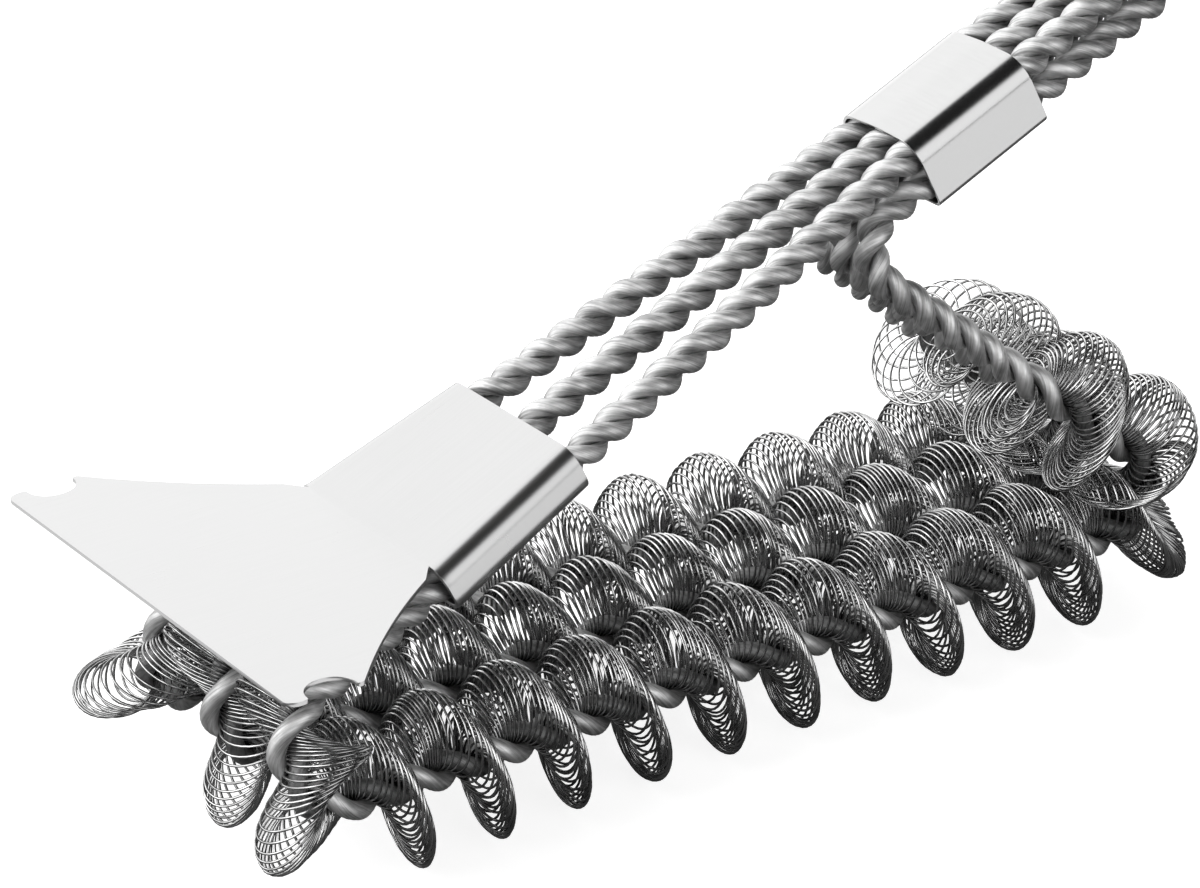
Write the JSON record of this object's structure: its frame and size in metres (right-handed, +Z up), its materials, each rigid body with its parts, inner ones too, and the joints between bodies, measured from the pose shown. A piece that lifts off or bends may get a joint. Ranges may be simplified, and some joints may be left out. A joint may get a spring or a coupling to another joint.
{
  "type": "grill cleaning brush",
  "caption": "Bristle-free grill brush: twisted heavy-wire loops wound with fine spring coil, a pressed steel scraper, a ferrule, and a long grip with a swinging hanging loop.",
  "frame": {"origin": "bottom centre of the whole part's box, with the coils resting on the plane Z = 0", "axes": "+Y from the scraper blade towards the hanging loop, +X to the side, +Z up, away from the surface that the coils rest on"},
  "size_m": [0.102, 0.397, 0.198],
  "materials": {
    "heavy_wire": "drawn, satin, slightly darkened in the grooves of the twist",
    "spring_wire": "bright drawn spring wire",
    "scraper_steel": "pressed sheet, fine satin brushing along the handle",
    "ferrule_steel": "polished sheet",
    "collar_steel": "satin sheet",
    "grip_plastic": "moulded, fine grain",
    "grip_rubber": "soft, matte",
    "anchor_plastic": "moulded, unseen in use",
    "screw_steel": "plated",
    "cap_plastic": "moulded, low gloss",
    "loop_wire": "bright wire"
  },
  "bodies": {
    "brush": {"left_wire_a": "heavy_wire", "left_wire_b": "heavy_wire", "left_coil": "spring_wire", "middle_wire_a": "heavy_wire", "middle_wire_b": "heavy_wire", "middle_coil": "spring_wire", "right_wire_a": "heavy_wire", "right_wire_b": "heavy_wire", "right_coil": "spring_wire", "scraper": "scraper_steel", "ferrule": "ferrule_steel", "grip_collar": "collar_steel", "grip_left_shell": "grip_plastic", "grip_right_shell": "grip_plastic", "grip_top_pad": "grip_rubber", "grip_bottom_pad": "grip_rubber", "anchor_block": "anchor_plastic", "grip_screws": "screw_steel", "end_cap": "cap_plastic"},
    "loop": {"hanging_loop": "loop_wire"}
  },
  "joints": [
    {"name": "hanging_loop_swing", "type": "hinge", "parent": "brush", "child": "loop", "pos_m": [0, 0.19392, 0.193], "axis": [1, 0, 0], "range_deg": [-18, 242]}
  ]
}
